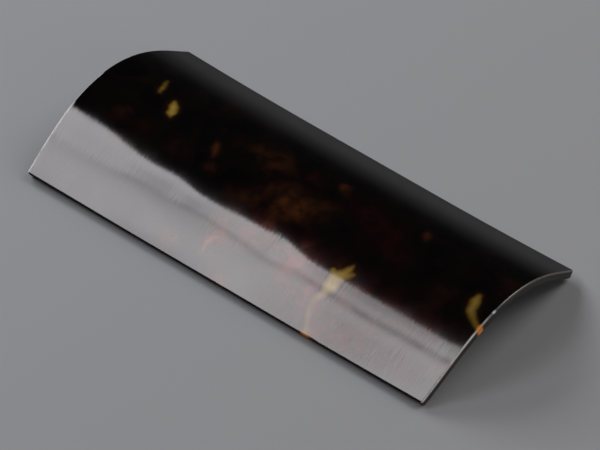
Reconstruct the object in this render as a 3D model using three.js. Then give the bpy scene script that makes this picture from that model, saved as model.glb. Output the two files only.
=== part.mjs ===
// A tea scoop: one arched plate of polished shell, welded from two thin sheets.
// Sizes are in millimetres. X runs along the scoop, Y from its near to its far long edge, Z up.
// It stands arch up, on narrow lands dressed along the underside of the two long edges.

import * as THREE from 'three';
import { mergeVertices } from 'three/addons/utils/BufferGeometryUtils.js';

// Plan of the plate
const length = 130; // from corner to corner along a long edge
const leftWidth = 62.9; // straight across the left end, at -X
const rightWidth = 60.6; // straight across the right end, at +X
const leftBow = 0.5; // how far the left end bulges past its corners
const rightBow = 2.2; // how far the right end bulges past its corners

// Arch of the plate
const flankAngle = THREE.MathUtils.degToRad(33.3); // slope at the long edges
const crestRoundness = 0.87; // 0 is an even arc; more gives a rounder crest and straighter flanks

// Thickness of the two sheets
const outerThickness = 1.25;
const innerThickness = 1.25;

// Edges
const arrisEase = 0.35; // width of the small bevel round the polished faces
const landRise = 0.35; // height dressed off the lower arris to make the land

// Lengthwise set left by pressing: the long edges lie straight in the middle and lift at the ends
const straightHalf = 20; // the straight stretch, to each side of the middle
const nearLift = 0.25; // lift of the near long edge at its corners
const farLift = 0.94; // lift of the far long edge at its corners

// Fineness of the facets
const lengthSteps = 20;
const archSteps = 32;
const sumSteps = 48;

const thickness = outerThickness + innerThickness;
const middleWidth = (leftWidth + rightWidth) / 2;
const landOnEdge = landRise / Math.cos(flankAngle);
const landOnFace = landRise / Math.sin(flankAngle);
const outerEdgeHeight = thickness * Math.cos(flankAngle) - landRise;

// Slope of the section at a share of its arc: -1 at the near edge, 0 at the crest, 1 at the far edge.
function slopeAt(share) {
  return flankAngle * (share * (1 + crestRoundness) - crestRoundness * share ** 3);
}

// Distance across and drop below the crest at a share of the arc, for a half arc of length 1.
function archAt(share) {
  let across = 0;
  let drop = 0;
  for (let step = 0; step < sumSteps; step += 1) {
    const slope = slopeAt((share * (step + 0.5)) / sumSteps);
    across += (Math.cos(slope) * share) / sumSteps;
    drop += (Math.sin(slope) * share) / sumSteps;
  }
  return { across, drop };
}

const edgeOfArch = archAt(1);
const halfArc = middleWidth / 2 / edgeOfArch.across;
const rise = halfArc * edgeOfArch.drop;

// Lift of the plate at a place along it, worked between the two long edges.
function liftAt(x, share) {
  const past = Math.max(0, Math.abs(x) - straightHalf) / (length / 2 - straightHalf);
  return past ** 2 * THREE.MathUtils.lerp(nearLift, farLift, (share + 1) / 2);
}

// A point of the plate: along runs from 0 at the left end to 1 at the right end,
// share is the place on the arc, and depth is measured inwards from the outer face.
function platePoint(along, share, depth) {
  const bulge = 1 - share * share;
  const leftEnd = -length / 2 - leftBow * bulge;
  const rightEnd = length / 2 + rightBow * bulge;
  const x = THREE.MathUtils.lerp(leftEnd, rightEnd, along);
  const arch = archAt(share);
  const slope = slopeAt(share);
  const widening = 1 + (((rightWidth - leftWidth) / middleWidth) * x) / length;
  const y = halfArc * arch.across * widening - depth * Math.sin(slope);
  const z = outerEdgeHeight + rise - halfArc * arch.drop - depth * Math.cos(slope);
  return new THREE.Vector3(x, y, z + liftAt(x, share));
}

// A grid of points at one depth, drawn in from the ends and from the long edges.
function plateGrid(depth, endInset, edgeInset) {
  const firstAlong = endInset / length;
  const lastShare = 1 - edgeInset / halfArc;
  const grid = [];
  for (let row = 0; row <= lengthSteps; row += 1) {
    const along = THREE.MathUtils.lerp(firstAlong, 1 - firstAlong, row / lengthSteps);
    const points = [];
    for (let column = 0; column <= archSteps; column += 1) {
      const share = THREE.MathUtils.lerp(-lastShare, lastShare, column / archSteps);
      points.push(platePoint(along, share, depth));
    }
    grid.push(points);
  }
  return grid;
}

// Sets the two long sides of a grid to the height of the resting lands.
function dressLands(grid) {
  for (const points of grid) {
    const nearPoint = points[0];
    const farPoint = points[points.length - 1];
    nearPoint.z = liftAt(nearPoint.x, -1);
    farPoint.z = liftAt(farPoint.x, 1);
  }
  return grid;
}

// The rim of a grid, counter-clockwise seen from above.
function rimOf(grid) {
  const near = grid.map((points) => points[0]);
  const right = grid[grid.length - 1];
  const far = grid.map((points) => points[points.length - 1]).reverse();
  const left = [...grid[0]].reverse();
  return [near, right, far, left].flatMap((side) => side.slice(0, -1));
}

// Covers a grid with facets. Each cell is split along the same diagonal whichever way it faces,
// so the two sheets share every facet of the weld.
function coverGrid(corners, grid, facesUp) {
  for (let row = 0; row < grid.length - 1; row += 1) {
    for (let column = 0; column < grid[row].length - 1; column += 1) {
      const a = grid[row][column];
      const b = grid[row + 1][column];
      const c = grid[row + 1][column + 1];
      const d = grid[row][column + 1];
      if (facesUp) {
        corners.push(a, b, c, a, c, d);
      } else {
        corners.push(a, c, b, a, d, c);
      }
    }
  }
}

// Joins an upper rim to a lower rim with facets that face outwards.
function joinRims(corners, upper, lower) {
  for (let place = 0; place < upper.length; place += 1) {
    const next = (place + 1) % upper.length;
    corners.push(upper[place], lower[place], lower[next]);
    corners.push(upper[place], lower[next], upper[next]);
  }
}

// Makes one closed body from an upper grid, the rims between and a lower grid.
function sheetGeometry(upperGrid, middleRims, lowerGrid) {
  const corners = [];
  const rims = [rimOf(upperGrid), ...middleRims, rimOf(lowerGrid)];
  coverGrid(corners, upperGrid, true);
  for (let level = 0; level < rims.length - 1; level += 1) {
    joinRims(corners, rims[level], rims[level + 1]);
  }
  coverGrid(corners, lowerGrid, false);
  const geometry = new THREE.BufferGeometry().setFromPoints(corners);
  geometry.translate((leftBow - rightBow) / 2, 0, 0);
  const merged = mergeVertices(geometry, 1e-5);
  merged.computeVertexNormals();
  return merged;
}

// The upper sheet, with the polished outer face and its eased arris.
function makeOuterSheet() {
  const face = plateGrid(0, arrisEase, arrisEase);
  const belowArris = rimOf(plateGrid(arrisEase, 0, 0));
  const weld = plateGrid(outerThickness, 0, 0);
  const material = new THREE.MeshStandardMaterial({ color: 0x1b0f09, roughness: 0.08, metalness: 0 });
  const mesh = new THREE.Mesh(sheetGeometry(face, [belowArris], weld), material);
  mesh.name = 'outer_sheet';
  return mesh;
}

// The lower sheet, with the hollow face and the two resting lands.
function makeInnerSheet() {
  const weld = plateGrid(outerThickness, 0, 0);
  const aboveArris = rimOf(dressLands(plateGrid(thickness - landOnEdge, 0, 0)));
  const face = dressLands(plateGrid(thickness, arrisEase, landOnFace));
  const material = new THREE.MeshStandardMaterial({ color: 0x24140b, roughness: 0.12, metalness: 0 });
  const mesh = new THREE.Mesh(sheetGeometry(weld, [aboveArris], face), material);
  mesh.name = 'inner_sheet';
  return mesh;
}

const teaScoop = new THREE.Group();
teaScoop.name = 'tea_scoop';
teaScoop.add(makeOuterSheet());
teaScoop.add(makeInnerSheet());

export default teaScoop;
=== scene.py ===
"""A tea scoop of polished shell: the finished surfaces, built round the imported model.

The scoop is one arched plate, pressed and welded from two sheets of shell. Both sheets are made here
as fine closed surfaces in the place of the faceted solids. Lengths are in millimetres, and become
metres when a mesh is made. A place on the plate is given by two numbers: along, from the left end to
the right, and arc, measured over the arch from its crest, with the near long edge negative.
"""

import logging
import math
from dataclasses import dataclass
from enum import Enum

import bpy
import numpy as np
from mathutils import Matrix, Vector

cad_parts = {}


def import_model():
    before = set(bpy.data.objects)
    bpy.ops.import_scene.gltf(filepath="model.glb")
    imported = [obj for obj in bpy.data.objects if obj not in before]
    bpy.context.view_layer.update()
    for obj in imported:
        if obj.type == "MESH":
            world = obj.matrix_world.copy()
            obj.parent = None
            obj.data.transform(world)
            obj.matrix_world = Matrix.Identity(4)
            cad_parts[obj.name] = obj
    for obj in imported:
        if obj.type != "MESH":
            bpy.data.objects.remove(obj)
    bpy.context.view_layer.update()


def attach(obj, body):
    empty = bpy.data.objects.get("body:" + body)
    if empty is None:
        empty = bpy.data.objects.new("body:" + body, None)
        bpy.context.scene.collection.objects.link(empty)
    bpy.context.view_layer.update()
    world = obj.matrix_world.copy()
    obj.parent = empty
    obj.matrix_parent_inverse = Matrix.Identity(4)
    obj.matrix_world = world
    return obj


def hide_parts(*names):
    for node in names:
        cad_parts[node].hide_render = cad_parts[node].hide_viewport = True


Tree = bpy.types.NodeTree
Socket = bpy.types.NodeSocket

LOG = logging.getLogger("tea_scoop")
MM = 0.001
FAR_OUTSIDE = 4.0
SECTION_POINTS = 801
SAME_DEPTH = 0.001
SHARP_ANGLE = math.radians(38)


class Side(Enum):
    """Which sheet of the plate a surface belongs to."""

    OUTER = "outer_sheet"
    INNER = "inner_sheet"


@dataclass(frozen=True)
class ArchedPlate:
    """The plate that both sheets are cut from, in the same sizes as the solids."""

    length: float = 130.0
    left_width: float = 62.9
    right_width: float = 60.6
    left_bow: float = 0.5
    right_bow: float = 2.2
    flank_angle: float = math.radians(33.3)
    crest_roundness: float = 0.87
    outer_thickness: float = 1.25
    inner_thickness: float = 1.25
    land_rise: float = 0.35
    straight_half: float = 20.0
    near_lift: float = 0.25
    far_lift: float = 0.94
    corner_round: float = 0.5
    edge_trim: float = 0.06

    @property
    def thickness(self) -> float:
        """The whole plate's thickness."""
        return self.outer_thickness + self.inner_thickness

    @property
    def middle_width(self) -> float:
        """The width half way along."""
        return (self.left_width + self.right_width) / 2

    def slope(self, share: np.ndarray) -> np.ndarray:
        """The section's slope at a share of its arc: a cubic that is steepest short of the edges."""
        return self.flank_angle * (share * (1 + self.crest_roundness) - self.crest_roundness * share**3)

    def section(self) -> tuple[np.ndarray, np.ndarray, np.ndarray]:
        """The section for a half arc of length 1: the running sums of the slope's cosine and sine.

        Returns:
            The shares of the arc, the distances across and the drops below the crest.
        """
        share = np.linspace(-1.0, 1.0, SECTION_POINTS)
        slope = self.slope(share)
        step = share[1] - share[0]
        across = np.concatenate([[0.0], np.cumsum((np.cos(slope[1:]) + np.cos(slope[:-1])) / 2 * step)])
        drop = np.concatenate([[0.0], np.cumsum((np.sin(slope[1:]) + np.sin(slope[:-1])) / 2 * step)])
        crest = len(share) // 2
        return share, across - across[crest], drop - drop[crest]

    @property
    def half_arc(self) -> float:
        """The length over the arch from its crest to a long edge."""
        return self.middle_width / 2 / self.section()[1][-1]

    @property
    def edge_height(self) -> float:
        """How high the outer face's long edges stand above the floor."""
        return self.thickness * math.cos(self.flank_angle) - self.land_rise

    @property
    def middle_shift(self) -> float:
        """How far the plate moves along X so that its box is centred."""
        return (self.left_bow - self.right_bow) / 2

    def lift(self, x: np.ndarray, share: np.ndarray) -> np.ndarray:
        """The lift at the ends: the square of the distance past the straight middle, blended across."""
        past = np.maximum(0.0, np.abs(x) - self.straight_half) / (self.length / 2 - self.straight_half)
        across = (share + 1) / 2
        return past**2 * (self.near_lift * (1 - across) + self.far_lift * across)

    def surface(self, along: np.ndarray, arc: np.ndarray, depth: np.ndarray) -> np.ndarray:
        """Points of the plate.

        A point starts on the outer face, at its distance over the arch, and moves in along the
        section's normal by its depth. The ends bow out by a parabola across the arch.

        Args:
            along: Distance from the middle towards the right end, before the ends bow out.
            arc: Distance over the arch from its crest.
            depth: Distance in from the outer face.

        Returns:
            An array of points, the last axis X, Y and Z in millimetres.
        """
        shares, acrosses, drops = self.section()
        half_arc = self.half_arc
        share = arc / half_arc
        bulge = 1 - share**2
        part = along / self.length + 0.5
        left = -self.length / 2 - self.left_bow * bulge
        right = self.length / 2 + self.right_bow * bulge
        x = left * (1 - part) + right * part
        widening = 1 + (self.right_width - self.left_width) / self.middle_width * x / self.length
        trim = 1 - self.edge_trim / (self.middle_width / 2)
        slope = self.slope(share)
        y = (np.interp(share, shares, acrosses) * half_arc * widening - depth * np.sin(slope)) * trim
        rise = half_arc * drops[-1]
        z = self.edge_height + rise - np.interp(share, shares, drops) * half_arc - depth * np.cos(slope)
        z = np.maximum(z, 0.0) + self.lift(x, share)
        return np.stack([x + self.middle_shift, y, z], axis=-1)

    def soften_corners(self, along: np.ndarray, arc: np.ndarray) -> tuple[np.ndarray, np.ndarray]:
        """Rounds the plate's corners in plan: squares drawn round a centre become circles."""
        across = self.corner_round - (self.length / 2 - np.abs(along))
        over = self.corner_round - (self.half_arc - np.abs(arc))
        inside = (across > 0) & (over > 0)
        longest = np.maximum(across, over)
        scale = np.where(inside, longest / np.maximum(np.hypot(across, over), 1e-9), 1.0)
        new_along = np.sign(along) * (self.length / 2 - self.corner_round + across * scale)
        new_arc = np.sign(arc) * (self.half_arc - self.corner_round + over * scale)
        return np.where(inside, new_along, along), np.where(inside, new_arc, arc)


@dataclass(frozen=True)
class Wave:
    """One low ridge left in the face by scraping and polishing."""

    along_length: float
    arc_length: float
    phase: float
    height: float

    def value(self, along: np.ndarray, arc: np.ndarray) -> np.ndarray:
        """The ridge's height: a cosine of both distances over their wavelengths."""
        turn = along / self.along_length + arc / self.arc_length
        return self.height * np.cos(2 * math.pi * turn + self.phase)


@dataclass(frozen=True)
class Scrape:
    """A place on the near flank where scraping left the slope a little steeper or flatter."""

    along: float
    reach: float
    shift: float

    def value(self, along: np.ndarray) -> np.ndarray:
        """How far the slope's line moves over the arch here: a bell along the plate."""
        return self.shift * np.exp(-(((along - self.along) / self.reach) ** 2))


@dataclass(frozen=True)
class Nick:
    """A small chip out of an arris."""

    along: float
    arc: float
    reach_along: float
    reach: float
    depth: float

    def value(self, along: np.ndarray, arc: np.ndarray, depth: np.ndarray) -> np.ndarray:
        """How deep inside the chip a point lies: 1 at its middle, 0 at its rim, by a square."""
        away = ((along - self.along) / self.reach_along) ** 2
        away = away + ((arc - self.arc) ** 2 + depth**2) / self.reach**2
        return np.clip(1 - away, 0.0, 1.0)


@dataclass(frozen=True)
class RubbedAndHighlitEnd:
    """How an end's arris is painted pale, partly as rubbed wear and partly as a painted highlight:
    fully from the near corner to one place, then less over the arch.
    """

    stops_at: float
    fall: float
    least: float
    width: float

    def share(self, arc: np.ndarray, depth: np.ndarray, from_end: np.ndarray) -> np.ndarray:
        """The pale share, for wear and painted highlight: a straight fall over the arch, and one past
        the width in each direction.

        Args:
            arc: Distances over the arch.
            depth: Distances in from the outer face.
            from_end: Distances in from the end.

        Returns:
            The share, from 0 to 1.
        """
        over = np.clip(1 - (arc - self.stops_at) / self.fall, self.least, 1.0)
        in_from_end = np.clip(2 - from_end / self.width, 0.0, 1.0)
        return over * in_from_end * np.clip(2 - depth / self.width, 0.0, 1.0)


@dataclass(frozen=True)
class Streak:
    """A light mark that runs through the shell."""

    points: tuple[tuple[float, float, float], ...]
    strength: float

    def field(self, along: np.ndarray, arc: np.ndarray) -> np.ndarray:
        """How far inside the mark a place lies: its half width less the distance to its line.

        Args:
            along: Distances along the plate.
            arc: Distances over the arch.

        Returns:
            Millimetres inside the mark, negative outside it.
        """
        inside = np.full(along.shape, -FAR_OUTSIDE)
        for (x0, a0, w0), (x1, a1, w1) in zip(self.points, self.points[1:]):
            run = (x1 - x0) ** 2 + (a1 - a0) ** 2
            part = np.clip(((along - x0) * (x1 - x0) + (arc - a0) * (a1 - a0)) / run, 0.0, 1.0)
            distance = np.hypot(along - x0 - part * (x1 - x0), arc - a0 - part * (a1 - a0))
            inside = np.maximum(inside, w0 + part * (w1 - w0) - distance)
        return inside


@dataclass(frozen=True)
class Cloud:
    """A soft cloud of colour in the shell."""

    along: float
    arc: float
    reach_along: float
    reach_arc: float
    turn: float
    strength: float

    def value(self, along: np.ndarray, arc: np.ndarray) -> np.ndarray:
        """The cloud's strength: a bell over its two reaches, turned in plan."""
        turn = math.radians(self.turn)
        u = (along - self.along) * math.cos(turn) + (arc - self.arc) * math.sin(turn)
        v = (arc - self.arc) * math.cos(turn) - (along - self.along) * math.sin(turn)
        return self.strength * np.exp(-((u / self.reach_along) ** 2) - (v / self.reach_arc) ** 2)


# From the left: a leaf, a small mark, the horn and its tail, the right mark and a hook.
STREAKS = (
    Streak(((-43.8, 2.7, 0.5), (-42.7, 0.9, 1.3), (-41.6, -1.0, 1.4), (-40.8, -2.4, 0.4)), 0.57),
    Streak(((-51.0, 8.0, 0.5), (-50.3, 6.0, 0.6)), 0.2),
    Streak(((-50.3, 6.0, 0.6), (-49.8, 4.6, 0.8), (-49.2, 3.0, 0.5)), 0.42),
    Streak(((27.8, -13.4, 0.4), (27.5, -14.9, 1.1), (26.4, -17.4, 2.2)), 0.6),
    Streak(((29.2, -15.2, 0.7), (27.4, -16.6, 1.6)), 0.6),
    Streak(((24.1, -16.8, 0.8), (26.0, -18.2, 2.0), (26.1, -20.6, 2.2), (25.7, -23.0, 1.3)), 1.0),
    Streak(((25.7, -23.0, 1.3), (24.6, -25.4, 1.1), (24.9, -28.0, 1.0), (26.4, -31.0, 0.9)), 0.4),
    Streak(((26.4, -31.0, 0.9), (27.7, -33.0, 1.1), (28.4, -36.0, 1.1)), 0.4),
    Streak(((58.9, -3.7, 0.9), (59.1, -5.5, 1.5), (60.0, -8.0, 1.4)), 0.36),
    Streak(((60.0, -8.0, 1.4), (61.5, -9.6, 1.0), (63.6, -10.9, 0.8), (66.0, -11.7, 0.9)), 0.34),
    Streak(((-7.2, -23.8, 0.4), (-8.8, -25.0, 0.9), (-9.4, -27.4, 0.9), (-8.9, -29.4, 0.6)), 0.28),
)

# The orange patch round the middle, then single spots along the plate.
AMBER_CLOUDS = (
    Cloud(2.2, -13.2, 3.0, 2.2, 0.0, 1.0),
    Cloud(-0.5, -7.4, 5.0, 3.8, -30.0, 0.6),
    Cloud(6.6, -7.4, 3.4, 3.0, -20.0, 0.8),
    Cloud(-7.0, -11.8, 3.4, 2.8, 0.0, 0.55),
    Cloud(-13.0, -12.8, 2.4, 1.8, 0.0, 0.3),
    Cloud(9.5, -3.0, 4.0, 3.0, -30.0, 0.2),
    Cloud(-8.5, 3.0, 4.5, 3.6, -20.0, 0.2),
    Cloud(-12.0, -1.5, 4.5, 3.6, -20.0, 0.18),
    Cloud(-15.6, 3.0, 2.4, 2.2, -20.0, 0.16),
    Cloud(2.4, 2.0, 3.6, 3.4, -20.0, 0.18),
    Cloud(-24.4, -4.0, 2.2, 0.9, -58.0, 1.3),
    Cloud(9.5, 6.2, 2.5, 1.3, -58.0, 0.55),
    Cloud(35.8, 5.8, 2.0, 1.0, -62.0, 0.48),
    Cloud(-22.2, -9.6, 1.6, 1.3, 0.0, 0.8),
    Cloud(13.9, -16.2, 1.8, 1.6, 0.0, 1.3),
    Cloud(-52.0, -7.0, 7.0, 4.0, 10.0, 0.12),
    Cloud(-33.0, -9.0, 4.0, 3.0, 0.0, 0.1),
    Cloud(51.0, -8.5, 3.2, 3.2, -30.0, 0.16),
    Cloud(62.0, 3.0, 3.0, 4.0, 0.0, 0.12),
    Cloud(25.8, -15.6, 3.0, 2.6, 0.0, 0.3),
)

# Deep red clouds, most of them near the crest.
DARK_RED_CLOUDS = (
    Cloud(27.0, 0.0, 9.0, 4.6, -24.0, 1.0),
    Cloud(34.0, -4.5, 5.0, 3.0, -24.0, 0.6),
    Cloud(18.0, 3.0, 5.0, 3.4, -30.0, 0.5),
    Cloud(2.0, 3.6, 3.4, 3.0, 0.0, 0.5),
    Cloud(-33.6, 13.4, 1.6, 3.2, 12.0, 1.6),
    Cloud(-21.6, 0.4, 2.4, 2.0, 0.0, 0.4),
    Cloud(52.0, 2.0, 3.0, 3.0, 0.0, 0.4),
    Cloud(-46.0, -10.0, 9.0, 4.0, 0.0, 0.3),
)

# Rosy clouds on the near flank, where the sheen lies over them.
ROSE_CLOUDS = (
    Cloud(38.0, -26.0, 34.0, 8.0, 0.0, 0.26),
    Cloud(-7.6, -23.2, 3.4, 4.6, 15.0, 0.6),
    Cloud(0.5, -19.0, 4.2, 3.6, 0.0, 0.55),
    Cloud(9.6, -18.4, 5.0, 1.8, -12.0, 0.4),
    Cloud(14.8, -20.8, 3.6, 4.4, 0.0, 0.75),
    Cloud(22.0, -25.2, 3.0, 4.0, 0.0, 0.5),
    Cloud(28.5, -20.0, 5.5, 2.6, 0.0, 0.35),
    Cloud(47.0, -18.6, 12.0, 1.6, 0.0, 0.15),
    Cloud(-9.2, -26.6, 1.2, 3.0, 8.0, 0.6),
    Cloud(-19.0, -30.4, 3.4, 2.4, 0.0, 0.35),
    Cloud(0.0, -33.0, 3.2, 2.2, 0.0, 0.35),
    Cloud(25.4, -27.4, 1.6, 3.6, 10.0, 0.4),
    Cloud(28.6, -33.0, 2.6, 2.4, 0.0, 0.7),
    Cloud(37.0, -31.0, 6.0, 3.2, 0.0, 0.3),
    Cloud(-46.0, -15.6, 5.0, 1.4, 0.0, 0.1),
)

WAVES = (
    Wave(46.0, 90.0, 2.75, 0.008),
    Wave(27.0, 70.0, 1.05, 0.004),
    Wave(61.0, -44.0, 0.4, 0.006),
    Wave(17.0, 31.0, 2.2, 0.0016),
    Wave(9.0, -21.0, 4.0, 0.0008),
    Wave(5.3, 37.0, 1.3, 0.0003),
)

SCRAPES = (
    Scrape(-50.0, 8.0, 0.3),
    Scrape(-37.0, 8.0, -1.1),
    Scrape(-26.0, 4.0, 0.55),
    Scrape(-19.0, 11.0, -1.6),
    Scrape(8.5, 5.5, 1.25),
    Scrape(17.0, 9.0, -0.75),
    Scrape(36.0, 15.0, -0.5),
    Scrape(39.0, 6.0, 0.4),
)
SCRAPE_ARC = -16.0
SCRAPE_REACH = 5.0
SLOPE_PER_ARC = math.radians(1.25)

NICKS = (
    Nick(65.0, -5.4, 0.5, 0.6, 0.2),
    Nick(65.0, 17.5, 0.4, 0.4, 0.08),
    Nick(-65.0, 8.5, 0.4, 0.4, 0.08),
    Nick(-12.0, 34.4, 0.5, 0.5, 0.12),
    Nick(29.0, -34.5, 3.6, 0.5, 0.1),
)


def graded_places(half: float, fine: float, coarse: float) -> np.ndarray:
    """Places from -1 to 1 that lie closer together near both ends.

    The steps grow by a third from the fine one until they reach the coarse one.

    Args:
        half: Half the distance covered, in millimetres.
        fine: The step next to the ends.
        coarse: The step everywhere else.

    Returns:
        The places in rising order, with 0 among them.
    """
    growth = 4.0 / 3.0
    steps = np.minimum(fine * growth ** np.arange(int(2 * half / coarse)), coarse)
    distance = np.concatenate([[0.0], np.cumsum(steps)])
    side = 1 - distance[distance < half - coarse / 2] / half
    return np.concatenate([-side, [0.0], side[::-1]])


def rim_of_grid(rows: int, columns: int) -> np.ndarray:
    """The places of a grid's outermost points, counter-clockwise seen from above."""
    near = np.arange(rows - 1) * columns
    right = (rows - 1) * columns + np.arange(columns - 1)
    far = np.arange(rows - 1, 0, -1) * columns + columns - 1
    left = np.arange(columns - 1, 0, -1)
    return np.concatenate([near, right, far, left])


def grid_faces(rows: int, columns: int) -> np.ndarray:
    """The four corners of each cell of a grid, counter-clockwise seen from above."""
    first = (np.arange(rows - 1)[:, None] * columns + np.arange(columns - 1)[None, :]).ravel()
    return np.stack([first, first + columns, first + columns + 1, first + 1], axis=-1)


def ring_faces(upper: np.ndarray, lower: np.ndarray) -> np.ndarray:
    """Faces that join an upper loop of points to the loop below it, facing out."""
    return np.stack([upper, lower, np.roll(lower, -1), np.roll(upper, -1)], axis=-1)


@dataclass(frozen=True)
class RimLevel:
    """One loop round a sheet's rim: its insets from the ends and long edges, and its depths there."""

    end_inset: float
    edge_inset: float
    end_depth: float
    edge_depth: float


@dataclass(frozen=True)
class ShellSheet:
    """One sheet of the plate: two faces and the rim between them, as one closed surface."""

    plate: ArchedPlate
    side: Side
    fine_step: float = 0.13
    coarse_step: float = 0.5
    arris_radius: float = 0.35
    weld_groove: float = 0.05
    arris_turns: int = 6
    wall_rows: int = 4
    corner_blend: float = 1.5
    ridge_fade: float = 2.5
    inner_ridges: float = 0.5
    mark_blend: float = 1.5
    mark_blend_power: int = 4
    chip_hardness: float = 3.0
    cut_start: float = 0.2
    # How far in from the rim the marks' painted glow reaches.
    painted_edge_glow_reach: float = 0.9
    # How the ends' arris is painted pale: partly rubbed wear, partly a painted highlight.
    rubbed_and_highlit_left: RubbedAndHighlitEnd = RubbedAndHighlitEnd(-14.5, 2.5, 0.0, 0.33)
    rubbed_and_highlit_right: RubbedAndHighlitEnd = RubbedAndHighlitEnd(-12.0, 8.0, 0.16, 0.22)
    lowest_ridge: float = 0.1

    def outer_levels(self) -> list[RimLevel]:
        """The rim of the upper sheet: a quarter circle, the end face and half of the weld's groove."""
        levels = []
        for turn in np.linspace(0.0, math.pi / 2, self.arris_turns):
            inset = self.arris_radius * (1 - math.sin(turn))
            depth = self.arris_radius * (1 - math.cos(turn))
            levels.append(RimLevel(inset, inset, depth, depth))
        weld = self.plate.outer_thickness
        for depth in np.linspace(self.arris_radius, weld - self.weld_groove, self.wall_rows)[1:]:
            levels.append(RimLevel(0.0, 0.0, depth, depth))
        levels.append(RimLevel(self.weld_groove, self.weld_groove, weld, weld))
        return levels

    def inner_levels(self) -> list[RimLevel]:
        """The rim of the lower sheet: the groove, the end face, then a quarter ellipse at the ends
        and the flat resting land along the long edges."""
        plate = self.plate
        weld = plate.outer_thickness
        land_depth = plate.thickness - plate.land_rise / math.cos(plate.flank_angle)
        land_inset = plate.land_rise / math.sin(plate.flank_angle)
        levels = [RimLevel(self.weld_groove, self.weld_groove, weld, weld)]
        for depth in np.linspace(weld + self.weld_groove, land_depth, self.wall_rows):
            levels.append(RimLevel(0.0, 0.0, depth, depth))
        for turn in np.linspace(0.0, 1.0, self.arris_turns)[1:]:
            angle = turn * math.pi / 2
            drop = plate.thickness - land_depth
            levels.append(RimLevel(
                self.arris_radius * (1 - math.cos(angle)),
                land_inset * turn,
                land_depth + drop * math.sin(angle),
                land_depth + drop * turn,
            ))
        return levels

    def loop(self, level: RimLevel, t: np.ndarray, s: np.ndarray
             ) -> tuple[np.ndarray, np.ndarray, np.ndarray]:
        """The places of every grid point at one level, with the rim's two depths blended at the corners.

        Args:
            level: The insets and depths.
            t: Places along, from -1 to 1.
            s: Places over the arch, from -1 to 1.

        Returns:
            Distances along, over the arch and in from the outer face, as flat arrays.
        """
        half_arc = self.plate.half_arc
        along = t * (self.plate.length / 2 - level.end_inset)
        arc = s * (half_arc - level.edge_inset)
        along, arc = (grid.ravel() for grid in np.meshgrid(along, arc, indexing="ij"))
        from_edge = np.clip((half_arc - level.edge_inset - np.abs(arc)) / self.corner_blend, 0.0, 1.0)
        on_end = np.isclose(np.abs(along), self.plate.length / 2 - level.end_inset)
        end_share = np.where(on_end, from_edge * from_edge * (3 - 2 * from_edge), 0.0)
        depth = level.edge_depth + (level.end_depth - level.edge_depth) * end_share
        return along, arc, depth

    def wear(self, along: np.ndarray, arc: np.ndarray, depth: np.ndarray) -> np.ndarray:
        """How far the surface has been taken in: low scraping ridges, and nicks in the outer arris.

        The ridges are a sum of waves. A scrape tilts the near flank about a line along it, inside a bell
        across that line. Both fade out into the arris that they run to, and only the faces have them.
        The outer face and its arris are taken in evenly by more than the highest ridge, so that the
        finished sheet stays inside its solid.
        """
        plate = self.plate
        from_rim = np.minimum(plate.length / 2 - np.abs(along), plate.half_arc - np.abs(arc))
        fade = np.clip(from_rim / self.ridge_fade, 0.0, 1.0)
        tilt = sum(scrape.value(along) for scrape in SCRAPES) * SLOPE_PER_ARC
        across = arc - SCRAPE_ARC
        ridge = sum(wave.value(along, arc) for wave in WAVES)
        ridge = ridge + tilt * across * np.exp(-((across / SCRAPE_REACH) ** 2))
        outer_face = np.isclose(depth, 0.0)
        inner_face = np.isclose(depth, plate.thickness)
        on_arris = depth < self.arris_radius + SAME_DEPTH
        taken = np.where(on_arris, self.lowest_ridge, 0.0) - np.where(outer_face, ridge * fade, 0.0)
        taken = np.where(inner_face, -self.inner_ridges * (self.lowest_ridge - ridge) * fade, taken)
        return taken + sum(nick.depth * nick.value(along, arc, depth) for nick in NICKS)

    def build(self) -> bpy.types.Object:
        """Makes the sheet's mesh: an upper grid, the loops of the rim and a lower grid.

        Returns:
            The sheet's object, with its figure stored as attributes on its points.
        """
        plate = self.plate
        levels = self.outer_levels() if self.side is Side.OUTER else self.inner_levels()
        t = graded_places(plate.length / 2, self.fine_step, self.coarse_step)
        s = graded_places(plate.half_arc, self.fine_step, self.coarse_step)
        rim = rim_of_grid(len(t), len(s))
        parts = [self.loop(levels[0], t, s)]
        for level in levels[1:-1]:
            parts.append(tuple(values[rim] for values in self.loop(level, t, s)))
        parts.append(self.loop(levels[-1], t, s))
        along, arc, depth = (np.concatenate(values) for values in zip(*parts))
        top = grid_faces(len(t), len(s))
        grid_size = len(t) * len(s)
        loops = [rim]
        start = grid_size
        for _ in levels[1:-1]:
            loops.append(start + np.arange(len(rim)))
            start += len(rim)
        loops.append(start + rim)
        rings = [ring_faces(upper, lower) for upper, lower in zip(loops, loops[1:])]
        bottom = (top + start)[:, ::-1]
        faces = np.concatenate([top, *rings, bottom])
        along, arc = plate.soften_corners(along, arc)
        points = plate.surface(along, arc, depth + self.wear(along, arc, depth))
        name = "polished_" + self.side.value
        piece = mesh_object(name, points, faces)
        self.store_figure(piece, along, arc, depth)
        return piece

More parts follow.
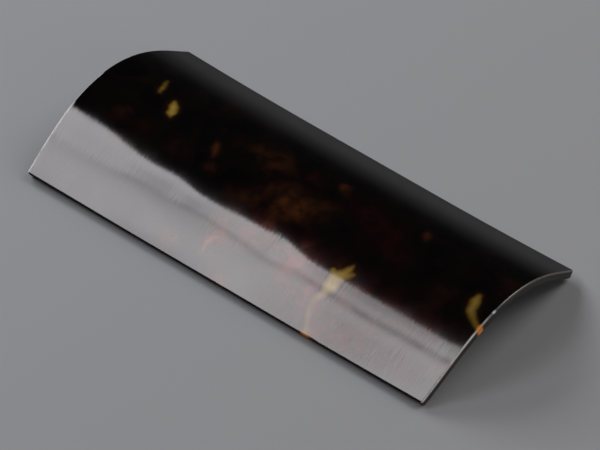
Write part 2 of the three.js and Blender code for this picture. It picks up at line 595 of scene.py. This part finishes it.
    def store_figure(self, piece: bpy.types.Object, along: np.ndarray, arc: np.ndarray,
                     depth: np.ndarray) -> None:
        """Stores the shell's figure on the points: where each lies, and how far in a mark or cloud.

        It also stores the masks for the marks' painted glow near the rim, and for the ends' arris,
        which is painted pale as wear and as a painted highlight.
        """
        streaks = np.stack([streak.field(along, arc) for streak in STREAKS])
        strongest = streaks.argmax(axis=0)
        strengths = np.array([streak.strength for streak in STREAKS])
        near = np.clip(1 + streaks / self.mark_blend, 0.0, 1.0) ** self.mark_blend_power
        total = np.maximum(near.sum(axis=0), 1e-6)
        strength = np.where(near.sum(axis=0) > 1e-6, (near * strengths[:, None]).sum(axis=0) / total,
                            strengths[strongest])
        from_end = self.plate.length / 2 - np.abs(along)
        from_edge = self.plate.half_arc - np.abs(arc)
        from_face = np.minimum(depth, self.plate.thickness - depth)
        place = np.stack([along, arc, depth], axis=-1)
        layer = piece.data.attributes.new("shell_place", "FLOAT_VECTOR", "POINT")
        layer.data.foreach_set("vector", place.astype(np.float32).ravel())
        fields = {
            "mark_inside": streaks.max(axis=0),
            "mark_strength": strength,
            "amber_cloud": sum(cloud.value(along, arc) for cloud in AMBER_CLOUDS),
            "dark_red_cloud": sum(cloud.value(along, arc) for cloud in DARK_RED_CLOUDS),
            "rose_cloud": sum(cloud.value(along, arc) for cloud in ROSE_CLOUDS),
            "cut_edge": np.clip(from_face / self.cut_start - 1, 0.0, 1.0),
            # Masks for the marks' painted glow near the rim, and for the ends' arris, painted pale as wear
            # and as a painted highlight.
            "painted_edge_glow_near_rim": np.clip(1 - np.minimum(from_end, from_edge) / self.painted_edge_glow_reach, 0.0, 1.0),
            "worn_arris_and_highlight": np.where(along > 0, self.rubbed_and_highlit_right.share(arc, depth, from_end),
                                   self.rubbed_and_highlit_left.share(arc, depth, from_end)),
            "chip": np.clip(self.chip_hardness * NICKS[0].value(along, arc, depth), 0.0, 1.0),
        }
        for field, values in fields.items():
            layer = piece.data.attributes.new(field, "FLOAT", "POINT")
            layer.data.foreach_set("value", values.astype(np.float32))


def mesh_object(name: str, points: np.ndarray, faces: np.ndarray) -> bpy.types.Object:
    """Makes a smooth mesh object at the origin.

    Args:
        name: The piece's name.
        points: Points in millimetres.
        faces: Four corners for each face.

    Returns:
        The object, linked to the scene.
    """
    mesh = bpy.data.meshes.new(name)
    mesh.vertices.add(len(points))
    mesh.vertices.foreach_set("co", (points * MM).astype(np.float32).ravel())
    mesh.loops.add(faces.size)
    mesh.loops.foreach_set("vertex_index", faces.astype(np.int32).ravel())
    mesh.polygons.add(len(faces))
    mesh.polygons.foreach_set("loop_start", np.arange(0, faces.size, 4, dtype=np.int32))
    mesh.update(calc_edges=True)
    mesh.shade_smooth()
    mesh.set_sharp_from_angle(angle=SHARP_ANGLE)
    piece = bpy.data.objects.new(name, mesh)
    bpy.context.scene.collection.objects.link(piece)
    return piece


def linear(colour: str) -> tuple[float, float, float, float]:
    """Turns an sRGB hex colour, such as "#8a8b8d", to linear values with an alpha of 1."""
    shares = [int(colour[place:place + 2], 16) / 255 for place in (1, 3, 5)]
    values = [v / 12.92 if v <= 0.04045 else ((v + 0.055) / 1.055) ** 2.4 for v in shares]
    return (*values, 1.0)


def add_node(tree: Tree, kind: str, links: dict | None = None, stops: tuple = (),
             **settings: object) -> bpy.types.Node:
    """Adds a node with its settings and links.

    Args:
        tree: The material's node tree.
        kind: The node's type name.
        links: For each input's name or number, a socket to link or a value to set.
        stops: For a colour ramp, its places and hex colours.
        settings: Values for the node's own properties.

    Returns:
        The new node.
    """
    node = tree.nodes.new(kind)
    for key, value in settings.items():
        setattr(node, key, value)
    for key, value in (links or {}).items():
        if isinstance(value, Socket):
            tree.links.new(value, node.inputs[key])
        else:
            node.inputs[key].default_value = value
    if stops:
        elements = node.color_ramp.elements
        while len(elements) < len(stops):
            elements.new(1.0)
        for element, (place, colour) in zip(elements, stops):
            element.position = place
            element.color = linear(colour)
    return node


def empty_material(name: str) -> tuple[bpy.types.Material, Tree]:
    """Makes a material whose node tree is still empty, and returns both."""
    material = bpy.data.materials.new(name)
    material.use_nodes = True
    material.node_tree.nodes.clear()
    return material, material.node_tree


MIX_A = 6
MIX_B = 7
MIX_RESULT = 2


@dataclass(frozen=True)
class WeldedShell:
    """Tortoiseshell, a clear amber keratin clouded with dark pigment, welded, scraped and buffed.

    It gives the eye a near-black body with soft red-brown clouds and amber marks under a wet gloss,
    whose reflections have slightly frayed edges from the fine lines that buffing leaves. The cut
    edges are duller and greyer, with fine saw lines along the arch. Near the plate's rim the amber
    marks are painted brighter and orange, a painted glow of light through the thin edge, and the
    ends' arris is painted pale, partly as wear and partly as a painted highlight.
    """

    name: str
    base_dark: str = "#040303"
    base_brown: str = "#0a0604"
    red_brown: str = "#1c0d06"
    orange: str = "#3c1e0c"
    dark_red: str = "#120404"
    rose: str = "#6f2727"
    mark_halo: str = "#1f1005"
    mark_rim: str = "#3a2309"
    mark_amber: str = "#7e6220"
    mark_pale: str = "#a88b45"
    # Painted glow: the bright orange that marks take near the rim, standing in for light through the thin
    # edge.
    mark_painted_edge_glow: str = "#e08b30"
    cut: str = "#453f3d"
    # Pale arris colour: rubbed wear, and also a painted highlight along the ends' arris.
    worn_and_highlight: str = "#dad4d2"
    fresh_chip: str = "#c0bcb4"
    # How much more of a mark the painted rim glow covers.
    painted_edge_glow_cover: float = 0.85
    ior: float = 1.55
    roughness: float = 0.075
    haze: float = 0.05
    far_haze: float = 0.15
    far_haze_reach: tuple[float, float] = (2.0, 18.0)
    cut_roughness: float = 0.35
    worn_roughness: float = 0.3
    mottle_size: float = 9.0
    cloud_patch: float = 3.6
    mark_waver: float = 2.8
    halo_reach: tuple[float, float] = (-1.7, -0.2)
    halo_strength: float = 0.7
    tone_reach: tuple[float, float] = (-0.5, 1.3)
    cover_reach: tuple[float, float] = (-0.6, 0.55)
    saw_line_length: float = 10.0
    saw_line_spacing: float = 0.25
    rub_and_highlight_patch: float = 1.6
    haze_patch: float = 12.0
    line_height: float = 0.007
    line_turn: float = 6.0
    lines_per_mm: tuple[float, float] = (1.6, 0.22)

    def make(self) -> bpy.types.Material:
        """Builds the material: base, clouds, marks and cut edge for the colour, then the polish."""
        material, tree = empty_material(self.name)
        place = add_node(tree, "ShaderNodeAttribute", attribute_name="shell_place").outputs["Vector"]
        colour = self.add_clouds(tree, place)
        colour = self.add_cut_edge(tree, place, colour)
        colour = self.add_marks(tree, place, colour)
        roughness, normal = self.add_polish(tree, place)
        shader = add_node(tree, "ShaderNodeBsdfPrincipled", {
            "Base Color": colour,
            "Roughness": roughness,
            "IOR": self.ior,
            "Normal": normal,
        })
        add_node(tree, "ShaderNodeOutputMaterial", {"Surface": shader.outputs["BSDF"]})
        return material

    def lay_over(self, tree: Tree, share: Socket, under: Socket, over: Socket | tuple) -> Socket:
        """Mixes one colour over another by a share that is kept between 0 and 1."""
        kept = add_node(tree, "ShaderNodeClamp", {"Value": share})
        mixed = add_node(tree, "ShaderNodeMix", {0: kept.outputs["Result"], MIX_A: under, MIX_B: over},
                         data_type="RGBA")
        return mixed.outputs[MIX_RESULT]

    def add_clouds(self, tree: Tree, place: Socket) -> Socket:
        """Mottles the base, then lays soft clouds over it, broken up by noise with cells of 2 to 9 mm."""
        mottle = add_node(tree, "ShaderNodeTexNoise", {
            "Vector": place, "Scale": 1 / self.mottle_size, "Detail": 3.0, "Roughness": 0.5,
            "Distortion": 0.3})
        base = add_node(tree, "ShaderNodeValToRGB", {"Fac": mottle.outputs["Fac"]},
                        stops=((0.45, self.base_dark), (0.75, self.base_brown)))
        break_up = add_node(tree, "ShaderNodeTexNoise", {
            "Vector": place, "Scale": 1 / self.cloud_patch, "Detail": 2.0, "Roughness": 0.4,
            "Distortion": 0.25})
        patch = add_node(tree, "ShaderNodeMapRange", {
            "Value": break_up.outputs["Fac"], "From Min": 0.36, "From Max": 0.62,
            "To Min": 0.5, "To Max": 1.3}, interpolation_type="SMOOTHSTEP")
        tone = add_node(tree, "ShaderNodeValToRGB", {"Fac": mottle.outputs["Fac"]},
                        stops=((0.40, self.red_brown), (0.58, self.orange)))
        layers = (
            ("dark_red_cloud", linear(self.dark_red)),
            ("amber_cloud", tone.outputs["Color"]),
            ("rose_cloud", linear(self.rose)),
        )
        colour = base.outputs["Color"]
        for attribute, over in layers:
            cloud = add_node(tree, "ShaderNodeAttribute", attribute_name=attribute)
            share = add_node(tree, "ShaderNodeMath", {0: cloud.outputs["Fac"], 1: patch.outputs["Result"]},
                             operation="MULTIPLY")
            colour = self.lay_over(tree, share.outputs["Value"], colour, over)
        return colour

    def add_marks(self, tree: Tree, place: Socket, under: Socket) -> Socket:
        """Lays the amber marks over the clouds: brown at their soft rims and pale inside.

        Near the plate's rim they are painted orange and cover more: a painted glow of light through
        the thin edge.
        """
        soft = add_node(tree, "ShaderNodeTexNoise", {
            "Vector": place, "Scale": 1 / self.mark_waver, "Detail": 2.0, "Roughness": 0.45,
            "Distortion": 0.2})
        inside = add_node(tree, "ShaderNodeAttribute", attribute_name="mark_inside")
        strength = add_node(tree, "ShaderNodeAttribute", attribute_name="mark_strength")
        rim = add_node(tree, "ShaderNodeAttribute", attribute_name="painted_edge_glow_near_rim")
        offset = add_node(tree, "ShaderNodeMath", {0: soft.outputs["Fac"], 1: 1.0, 2: -0.5},
                          operation="MULTIPLY_ADD")
        edge = add_node(tree, "ShaderNodeMath", {0: inside.outputs["Fac"], 1: offset.outputs["Value"]},
                        operation="ADD")
        halo = add_node(tree, "ShaderNodeMapRange", {
            "Value": edge.outputs["Value"], "From Min": self.halo_reach[0],
            "From Max": self.halo_reach[1], "To Max": self.halo_strength},
            interpolation_type="SMOOTHSTEP")
        halo_share = add_node(tree, "ShaderNodeMath", {
            0: halo.outputs["Result"], 1: strength.outputs["Fac"]}, operation="MULTIPLY")
        colour = self.lay_over(tree, halo_share.outputs["Value"], under, linear(self.mark_halo))
        tone = add_node(tree, "ShaderNodeMapRange", {
            "Value": edge.outputs["Value"], "From Min": self.tone_reach[0],
            "From Max": self.tone_reach[1]})
        amber = add_node(tree, "ShaderNodeValToRGB", {"Fac": tone.outputs["Result"]},
                         stops=((0.0, self.mark_rim), (0.5, self.mark_amber), (1.0, self.mark_pale)))
        # Near the rim the marks are painted orange and cover more: a painted glow of light through the thin
        # edge.
        painted_edge_glow_amber = self.lay_over(tree, rim.outputs["Fac"], amber.outputs["Color"], linear(self.mark_painted_edge_glow))
        cover = add_node(tree, "ShaderNodeMapRange", {
            "Value": edge.outputs["Value"], "From Min": self.cover_reach[0],
            "From Max": self.cover_reach[1]},
            interpolation_type="SMOOTHSTEP")
        full = add_node(tree, "ShaderNodeMath", {
            0: rim.outputs["Fac"], 1: self.painted_edge_glow_cover, 2: strength.outputs["Fac"]}, operation="MULTIPLY_ADD")
        share = add_node(tree, "ShaderNodeMath", {0: cover.outputs["Result"], 1: full.outputs["Value"]},
                         operation="MULTIPLY")
        return self.lay_over(tree, share.outputs["Value"], colour, painted_edge_glow_amber)

    def add_cut_edge(self, tree: Tree, place: Socket, under: Socket) -> Socket:
        """Greys the cut edges, in lines 0.25 mm apart through the thickness, whitens the arris of the
        two ends unevenly, partly as wear and partly as a painted highlight, and whitens fresh chips."""
        drawn = add_node(tree, "ShaderNodeMapping", {"Vector": place, "Scale": (
            1 / self.saw_line_length, 1 / self.saw_line_length, 1 / self.saw_line_spacing)})
        saw = add_node(tree, "ShaderNodeTexNoise", {
            "Vector": drawn.outputs["Vector"], "Scale": 1.0, "Detail": 3.0})
        lines = add_node(tree, "ShaderNodeMapRange", {
            "Value": saw.outputs["Fac"], "From Min": 0.3, "From Max": 0.65, "To Min": 0.25, "To Max": 0.85})
        # Uneven patches for the pale arris, which is partly wear and partly a painted highlight.
        rub_and_highlight_noise = add_node(tree, "ShaderNodeTexNoise", {
            "Vector": place, "Scale": 1 / self.rub_and_highlight_patch, "Detail": 3.0})
        rub_and_highlight_patches = add_node(tree, "ShaderNodeMapRange", {
            "Value": rub_and_highlight_noise.outputs["Fac"], "From Min": 0.35, "From Max": 0.65, "To Min": 0.75})
        colour = under
        for attribute, share, over in (
            ("cut_edge", lines.outputs["Result"], self.cut),
            ("worn_arris_and_highlight", rub_and_highlight_patches.outputs["Result"], self.worn_and_highlight),
            ("chip", 1.0, self.fresh_chip),
        ):
            where = add_node(tree, "ShaderNodeAttribute", attribute_name=attribute)
            amount = add_node(tree, "ShaderNodeMath", {0: where.outputs["Fac"], 1: share},
                              operation="MULTIPLY")
            colour = self.lay_over(tree, amount.outputs["Value"], colour, linear(over))
        return colour

    def add_polish(self, tree: Tree, place: Socket) -> tuple[Socket, Socket]:
        """Adds buffing lines across the plate, 0.6 mm apart so that they show, and an uneven haze.

        The haze is a noise with patches of 12 mm, more along the far flank, the pale arris of the ends
        and the cut edges. Each is a share of roughness that is added to the polished face's own.
        """
        stretched = add_node(tree, "ShaderNodeMapping", {
            "Vector": place, "Rotation": (0.0, 0.0, math.radians(self.line_turn)),
            "Scale": (*self.lines_per_mm, 1.0)})
        lines = add_node(tree, "ShaderNodeTexNoise", {
            "Vector": stretched.outputs["Vector"], "Scale": 1.0, "Detail": 2.5})
        bump = add_node(tree, "ShaderNodeBump", {
            "Height": lines.outputs["Fac"], "Strength": 1.0, "Distance": self.line_height * MM})
        cloudy = add_node(tree, "ShaderNodeTexNoise", {
            "Vector": place, "Scale": 1 / self.haze_patch, "Detail": 4.0})
        rough = add_node(tree, "ShaderNodeMapRange", {
            "Value": cloudy.outputs["Fac"], "From Min": 0.4, "From Max": 0.75,
            "To Min": self.roughness, "To Max": self.roughness + self.haze})
        sides = add_node(tree, "ShaderNodeSeparateXYZ", {"Vector": place})
        far = add_node(tree, "ShaderNodeMapRange", {
            "Value": sides.outputs["Y"], "From Min": self.far_haze_reach[0],
            "From Max": self.far_haze_reach[1], "To Max": self.far_haze}, interpolation_type="SMOOTHSTEP")
        total = add_node(tree, "ShaderNodeMath", {0: rough.outputs["Result"], 1: far.outputs["Result"]},
                         operation="ADD")
        for attribute, amount in (("worn_arris_and_highlight", self.worn_roughness), ("cut_edge", self.cut_roughness),
                                  ("chip", self.worn_roughness)):
            share = add_node(tree, "ShaderNodeAttribute", attribute_name=attribute)
            total = add_node(tree, "ShaderNodeMath", {
                0: share.outputs["Fac"], 1: amount, 2: total.outputs["Value"]}, operation="MULTIPLY_ADD")
        return total.outputs["Value"], bump.outputs["Normal"]


@dataclass(frozen=True)
class MattBackdrop:
    """Matt grey paper, which gives the eye an even ground that keeps the scoop's soft shadow.

    The polished shell sees it darker than the camera does, and darkest far behind, so that the
    reflections in the far flank stay as deep as the photograph's.
    """

    name: str = "matt_grey_paper"
    colour: str = "#8a8b8e"
    mirrored: tuple[tuple[float, str], ...] = (
        (0.03, "#161618"), (0.12, "#1a1a1c"), (0.29, "#222324"), (0.64, "#3c3d3e"), (0.85, "#545557"))
    mirrored_start: float = 38.0
    roughness: float = 0.7
    gloss: float = 0.2
    fibres_per_metre: float = 900.0
    fibre_height: float = 0.02

    def make(self) -> bpy.types.Material:
        """Builds the material: one grey with a faint fibre noise, and a darker grey for reflections.

        The darker grey is looked up by the starting distance over the distance from the middle line.
        """
        material, tree = empty_material(self.name)
        where = add_node(tree, "ShaderNodeTexCoord")
        fibre = add_node(tree, "ShaderNodeTexNoise", {
            "Vector": where.outputs["Object"], "Scale": self.fibres_per_metre, "Detail": 3.0})
        bump = add_node(tree, "ShaderNodeBump", {
            "Height": fibre.outputs["Fac"], "Strength": 0.2, "Distance": self.fibre_height * MM})
        sides = add_node(tree, "ShaderNodeSeparateXYZ", {"Vector": where.outputs["Object"]})
        behind = add_node(tree, "ShaderNodeMath", {0: sides.outputs["Y"]}, operation="ABSOLUTE")
        reach = add_node(tree, "ShaderNodeMath", {
            0: self.mirrored_start * MM, 1: behind.outputs["Value"]}, operation="DIVIDE")
        mirrored = add_node(tree, "ShaderNodeValToRGB", {"Fac": reach.outputs["Value"]}, stops=self.mirrored)
        ray = add_node(tree, "ShaderNodeLightPath")
        colour = add_node(tree, "ShaderNodeMix", {
            0: ray.outputs["Is Glossy Ray"], MIX_A: linear(self.colour), MIX_B: mirrored.outputs["Color"],
        }, data_type="RGBA")
        shader = add_node(tree, "ShaderNodeBsdfPrincipled", {
            "Base Color": colour.outputs[MIX_RESULT],
            "Roughness": self.roughness,
            "Specular IOR Level": self.gloss,
            "Normal": bump.outputs["Normal"],
        })
        add_node(tree, "ShaderNodeOutputMaterial", {"Surface": shader.outputs["BSDF"]})
        return material


@dataclass(frozen=True)
class PhotoCamera:
    """The photograph's camera, found by fitting the plate's outline; sizes in millimetres."""

    azimuth: float = 40.43
    elevation: float = 42.66
    distance: float = 938.0
    aim_right: float = 0.60
    aim_up: float = -1.05
    lens: float = 221.6
    sensor: float = 36.0

    def build(self, aim: Vector) -> bpy.types.Object:
        """Places the camera on a line through the aim point, looking down it."""
        a = math.radians(self.azimuth)
        e = math.radians(self.elevation)
        right = Vector((math.cos(a), math.sin(a), 0.0))
        back = Vector((math.sin(a) * math.cos(e), -math.cos(a) * math.cos(e), math.sin(e)))
        up = back.cross(right)
        data = bpy.data.cameras.new("photo_camera")
        data.lens = self.lens
        data.sensor_width = self.sensor
        data.clip_start = 0.05
        camera = bpy.data.objects.new("photo_camera", data)
        bpy.context.scene.collection.objects.link(camera)
        place = aim + back * self.distance + right * self.aim_right + up * self.aim_up
        turn = Matrix((right, up, back)).transposed().to_4x4()
        camera.matrix_world = Matrix.Translation(place * MM) @ turn
        bpy.context.scene.camera = camera
        return camera


@dataclass(frozen=True)
class SoftBox:
    """A flat soft light, level or facing the scoop; sizes in millimetres, brightness as radiance."""

    name: str
    centre: tuple[float, float, float]
    size: tuple[float, float]
    turn: float
    radiance: float
    level: bool = True
    tint: str = "#ffffff"

    def build(self) -> bpy.types.Object:
        """Makes an area light whose power gives the stated brightness over its size."""
        data = bpy.data.lights.new(self.name, "AREA")
        data.color = linear(self.tint)[:3]
        data.shape = "RECTANGLE"
        data.size = self.size[0] * MM
        data.size_y = self.size[1] * MM
        data.energy = self.radiance * math.pi * data.size * data.size_y
        lamp = bpy.data.objects.new(self.name, data)
        bpy.context.scene.collection.objects.link(lamp)
        place = Vector(self.centre) * MM
        spin = Matrix.Rotation(math.radians(self.turn), 4, "Z")
        facing = Matrix.Identity(4) if self.level else place.to_track_quat("Z", "Y").to_matrix().to_4x4()
        lamp.matrix_world = Matrix.Translation(place) @ facing @ spin
        return lamp


@dataclass(frozen=True)
class SheerCotton:
    """Sheer black cotton, which dims a lamp softly where its threads are drawn together."""

    name: str = "sheer_black_cotton"
    colour: str = "#050505"

    def make(self) -> bpy.types.Material:
        """Builds the material: clear, with a share of black cloth stored on the points."""
        material, tree = empty_material(self.name)
        weave = add_node(tree, "ShaderNodeAttribute", attribute_name="weave")
        clear = add_node(tree, "ShaderNodeBsdfTransparent")
        cloth = add_node(tree, "ShaderNodeBsdfDiffuse", {"Color": linear(self.colour)})
        mixed = add_node(tree, "ShaderNodeMixShader", {
            0: weave.outputs["Fac"], 1: clear.outputs["BSDF"], 2: cloth.outputs["BSDF"]})
        add_node(tree, "ShaderNodeOutputMaterial", {"Surface": mixed.outputs["Shader"]})
        return material


@dataclass(frozen=True)
class LampLining:
    """The cloth lining just below the sheen lamp; sizes in millimetres.

    The near flank mirrors its one long fold as the dim line along the middle of its light half, and
    its thicker places as the dim patches beside that line.
    """

    lamp_height: float
    drop: float = 8.0
    across: tuple[float, float] = (-860.0, -260.0)
    back: tuple[float, float] = (-760.0, -160.0)
    points_a_side: int = 101
    fold_middle: tuple[float, float] = (-552.0, -451.0)
    fold_sag: float = 0.0053
    fold_reach: float = 28.0
    fold_density: float = 0.24
    thick_places: tuple[Cloud, ...] = (
        Cloud(-564.0, -370.0, 32.0, 110.0, -12.0, 0.38),
        Cloud(-596.0, -515.0, 26.0, 60.0, -10.0, 0.28),
        Cloud(-442.0, -350.0, 32.0, 80.0, 0.0, 0.38),
        Cloud(-465.0, -490.0, 40.0, 26.0, 0.0, 0.34),
        Cloud(-465.0, -450.0, 34.0, 200.0, -13.0, 0.27),
        Cloud(-498.0, -600.0, 18.0, 42.0, 0.0, 0.42),
    )

    def build(self) -> bpy.types.Object:
        """Makes the lining as a level grid whose density is a bell across a parabola, plus soft patches."""
        side = self.points_a_side
        grid = np.meshgrid(np.linspace(*self.across, side), np.linspace(*self.back, side), indexing="ij")
        x, y = (values.ravel() for values in grid)
        fold = self.fold_middle[1] - self.fold_sag * (x - self.fold_middle[0]) ** 2
        density = self.fold_density * np.exp(-(((y - fold) / self.fold_reach) ** 2))
        density = density + sum(place.value(x, y) for place in self.thick_places)
        points = np.stack([x, y, np.full(x.shape, self.lamp_height - self.drop)], axis=-1)
        lining = mesh_object("soft_box_lining", points, grid_faces(side, side))
        layer = lining.data.attributes.new("weave", "FLOAT", "POINT")
        layer.data.foreach_set("value", np.clip(density, 0.0, 1.0).astype(np.float32))
        lining.data.materials.append(SheerCotton().make())
        return lining


@dataclass(frozen=True)
class Studio:
    """The floor, the lamps and the dim room round the scoop; sizes in millimetres.

    The sheen lamp is a level box on the left whose inner edge the near flank mirrors as the line
    between its light and dark halves. The window lamp, low on the left, gives the shadows their
    direction, the large lamp behind on the right fills them, and the low card on the right lights the
    floor under the arch's open end.
    """

    floor_size: float = 3000.0
    room: str = "#434343"
    mirrored_room: str = "#151517"
    sheen_height: float = 900.0
    sheen_edge: tuple[float, float] = (-516.0, -223.0)
    sheen_turn: float = -49.0
    sheen_size: tuple[float, float] = (530.0, 460.0)
    sheen_offset: float = 117.0
    sheen_radiance: float = 6.7
    sheen_tint: str = "#fffcff"
    window: SoftBox = SoftBox("window_soft_box", (-1438.0, 306.0, 749.0), (1080.0, 760.0), 0.0, 8.9,
                              False, "#f8fbff")
    back: SoftBox = SoftBox("back_soft_box", (476.0, 1069.0, 1091.0), (1060.0, 1060.0), 0.0, 3.7,
                            False, "#fffaf6")
    card: SoftBox = SoftBox("low_fill_card", (620.0, -60.0, 170.0), (400.0, 300.0), 0.0, 1.9, False)

    def build(self) -> None:
        """Builds the floor, the lamps, the card and the room, which the polished faces mirror darker."""
        half = self.floor_size / 2
        corners = np.array([(-half, -half, 0.0), (half, -half, 0.0), (half, half, 0.0), (-half, half, 0.0)])
        floor = mesh_object("paper_floor", corners, np.array([[0, 1, 2, 3]]))
        floor.data.materials.append(MattBackdrop().make())
        turn = math.radians(self.sheen_turn)
        along = np.array([math.cos(turn), math.sin(turn)])
        outwards = np.array([math.sin(turn), -math.cos(turn)])
        centre = np.array(self.sheen_edge) + along * self.sheen_offset + outwards * self.sheen_size[1] / 2
        SoftBox("sheen_soft_box", (centre[0], centre[1], self.sheen_height), self.sheen_size,
                self.sheen_turn, self.sheen_radiance, tint=self.sheen_tint).build()
        LampLining(self.sheen_height).build()
        self.window.build()
        self.back.build()
        self.card.build()
        world = bpy.data.worlds.new("dim_room")
        world.use_nodes = True
        tree = world.node_tree
        ray = add_node(tree, "ShaderNodeLightPath")
        colour = add_node(tree, "ShaderNodeMix", {
            0: ray.outputs["Is Glossy Ray"], MIX_A: linear(self.room), MIX_B: linear(self.mirrored_room),
        }, data_type="RGBA")
        tree.links.new(colour.outputs[MIX_RESULT], tree.nodes["Background"].inputs["Color"])
        bpy.context.scene.world = world


@dataclass(frozen=True)
class TeaScoop:
    """The whole scoop: its upper and lower sheets, with their finishes."""

    plate: ArchedPlate = ArchedPlate()

    def build(self) -> list[bpy.types.Object]:
        """Builds both sheets in place of their solids and gives each its finish."""
        finishes = {
            Side.OUTER: (WeldedShell("buffed_tortoiseshell"), "shell_outer"),
            Side.INNER: (WeldedShell("tortoiseshell_worn_inside", roughness=0.12, haze=0.1), "shell_inner"),
        }
        pieces = []
        for side, (finish, slot) in finishes.items():
            piece = ShellSheet(self.plate, side).build()
            piece.data.materials.append(finish.make())
            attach(piece, "root")
            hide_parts(side.value)
            LOG.info("%s: %d faces", piece.name, len(piece.data.polygons))
            pieces.append(piece)
        return pieces


def main() -> None:
    """Builds the camera, the studio and the scoop."""
    logging.basicConfig(level=logging.INFO, format="%(message)s")
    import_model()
    bpy.context.scene.view_settings.view_transform = "Standard"
    scoop = TeaScoop()
    aim = Vector((scoop.plate.middle_shift, 0.0, scoop.plate.edge_height))
    PhotoCamera().build(aim)
    Studio().build()
    scoop.build()


if __name__ == "__main__":
    main()
